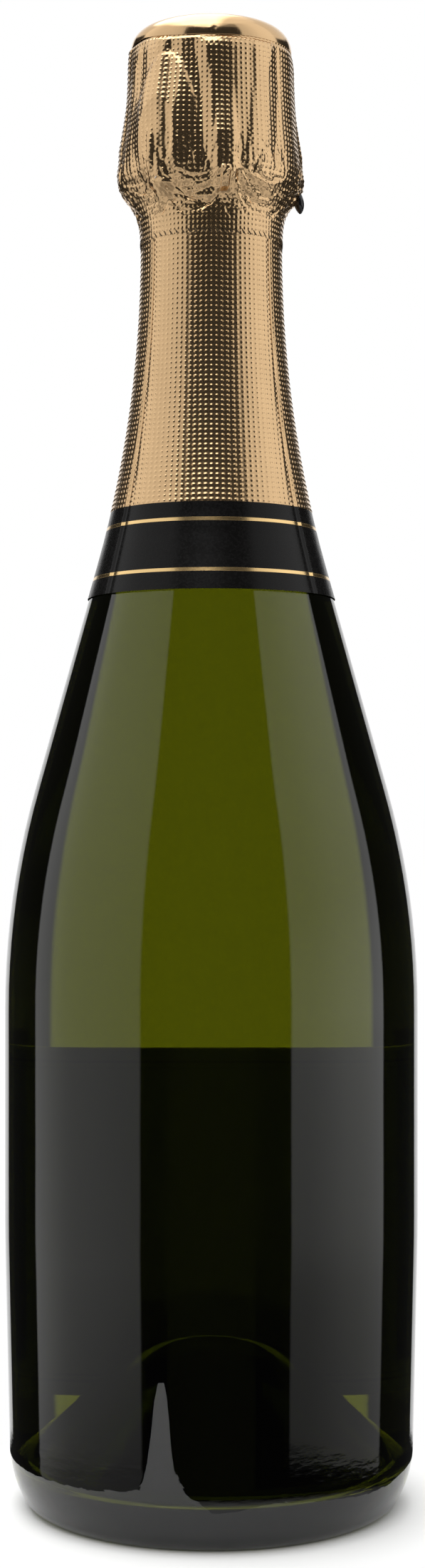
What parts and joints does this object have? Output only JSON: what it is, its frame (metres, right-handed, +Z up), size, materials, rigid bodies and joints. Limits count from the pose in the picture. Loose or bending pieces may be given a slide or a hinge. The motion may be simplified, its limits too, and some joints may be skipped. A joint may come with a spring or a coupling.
{
  "type": "champagne bottle",
  "caption": "Full corked sparkling-wine bottle: green glass with deep punt, wired mushroom cork, crumpled foil hood, embossed foil skirt and a bare front label.",
  "frame": {"origin": "centre of the standing ring, on the plane that the bottle stands on", "axes": "+Z up along the bottle's axis; the blank front label faces +Y and the pictured back faces -Y; +X is to the right in the picture"},
  "size_m": [0.0884, 0.0886, 0.3147],
  "materials": {
    "green_glass": "gloss",
    "wine": "gloss",
    "gold_foil": "satin",
    "black_foil": "satin",
    "label_paper": "matte",
    "cork": "matte",
    "natural_cork": "matte",
    "cap_steel": "gloss",
    "cage_wire": "satin"
  },
  "bodies": {
    "bottle": {"bottle": "green_glass", "wine": "wine", "foil_skirt": "gold_foil", "foil_border": "black_foil", "front_label": "label_paper"},
    "cork": {"cork_body": "cork", "cork_disc_upper": "natural_cork", "cork_disc_lower": "natural_cork"},
    "muselet": {"plaque": "cap_steel", "cage_top_ring": "cage_wire", "cage_leg_back": "cage_wire", "cage_leg_right": "cage_wire", "cage_leg_front": "cage_wire", "cage_leg_left": "cage_wire", "cage_belt": "cage_wire"},
    "loop": {"cage_loop": "cage_wire"},
    "hood": {"foil_hood": "gold_foil", "foil_top_disc": "gold_foil"}
  },
  "joints": [
    {"name": "cork_pull", "type": "slide", "parent": "bottle", "child": "cork", "axis": [0, 0, 1], "range_m": [0, 0.03]},
    {"name": "muselet_lift", "type": "slide", "parent": "cork", "child": "muselet", "axis": [0, 0, 1], "range_m": [0, 0.034], "deforming": ["cage_belt"]},
    {"name": "loop_fold", "type": "hinge", "parent": "muselet", "child": "loop", "pos_m": [-0.01096, -0.01508, 0.2798], "axis": [0.809, -0.5878, 0], "range_deg": [0, 120]},
    {"name": "hood_lift", "type": "slide", "parent": "muselet", "child": "hood", "axis": [0, 0, 1], "range_m": [0, 0.046], "deforming": ["foil_hood"]}
  ]
}
